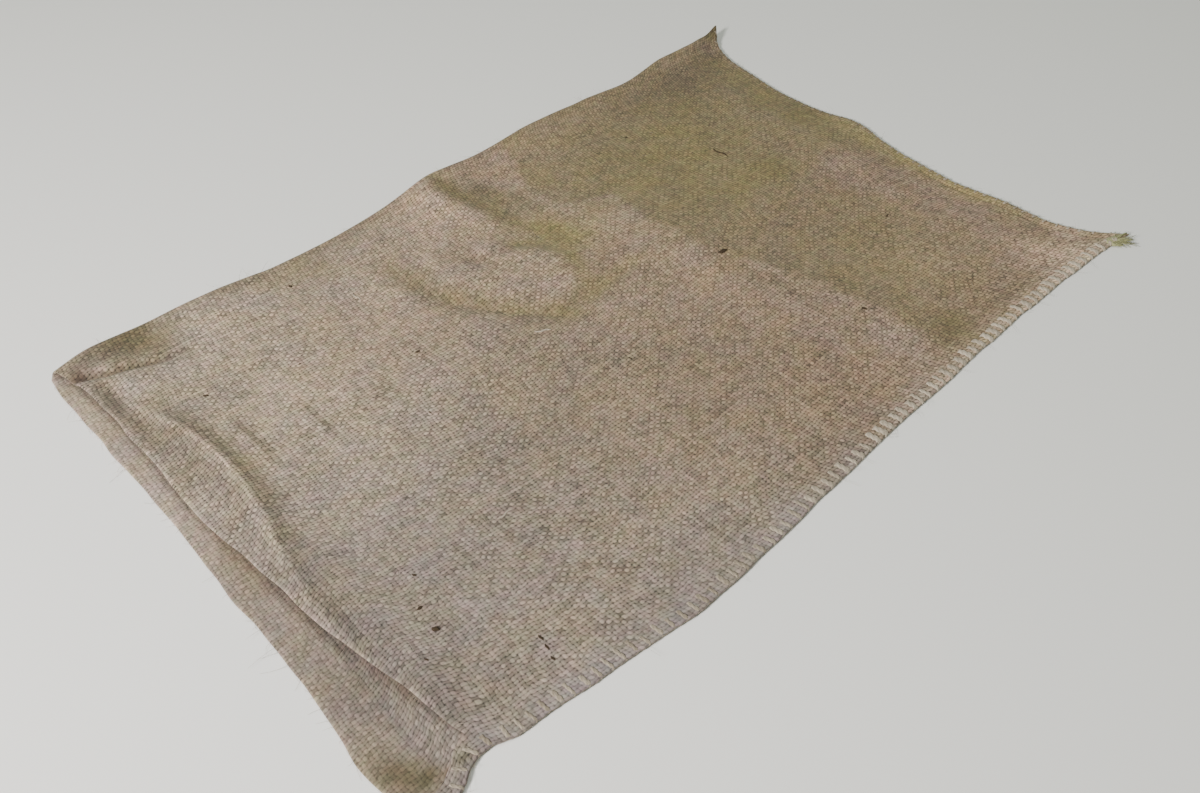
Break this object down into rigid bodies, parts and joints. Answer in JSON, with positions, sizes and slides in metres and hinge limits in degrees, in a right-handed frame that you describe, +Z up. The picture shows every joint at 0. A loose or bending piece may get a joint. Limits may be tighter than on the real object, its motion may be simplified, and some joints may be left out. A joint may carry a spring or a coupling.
{
  "type": "jute sack",
  "caption": "Empty jute sack lying flat, folded from one cloth, with sewn side and bottom seams, pointed bottom corners and an open hemmed mouth.",
  "frame": {"origin": "on the surface that the sack lies on, under the middle of its box", "axes": "+X from the folded edge to the side seam, +Y from the open mouth to the bottom seam, +Z up"},
  "size_m": [0.5156, 0.8134, 0.0179],
  "materials": {
    "jute": "coarse plain weave of undyed tan jute yarn, matt and slightly hairy"
  },
  "bodies": {
    "root": {"sack_cloth": "jute"}
  },
  "joints": []
}
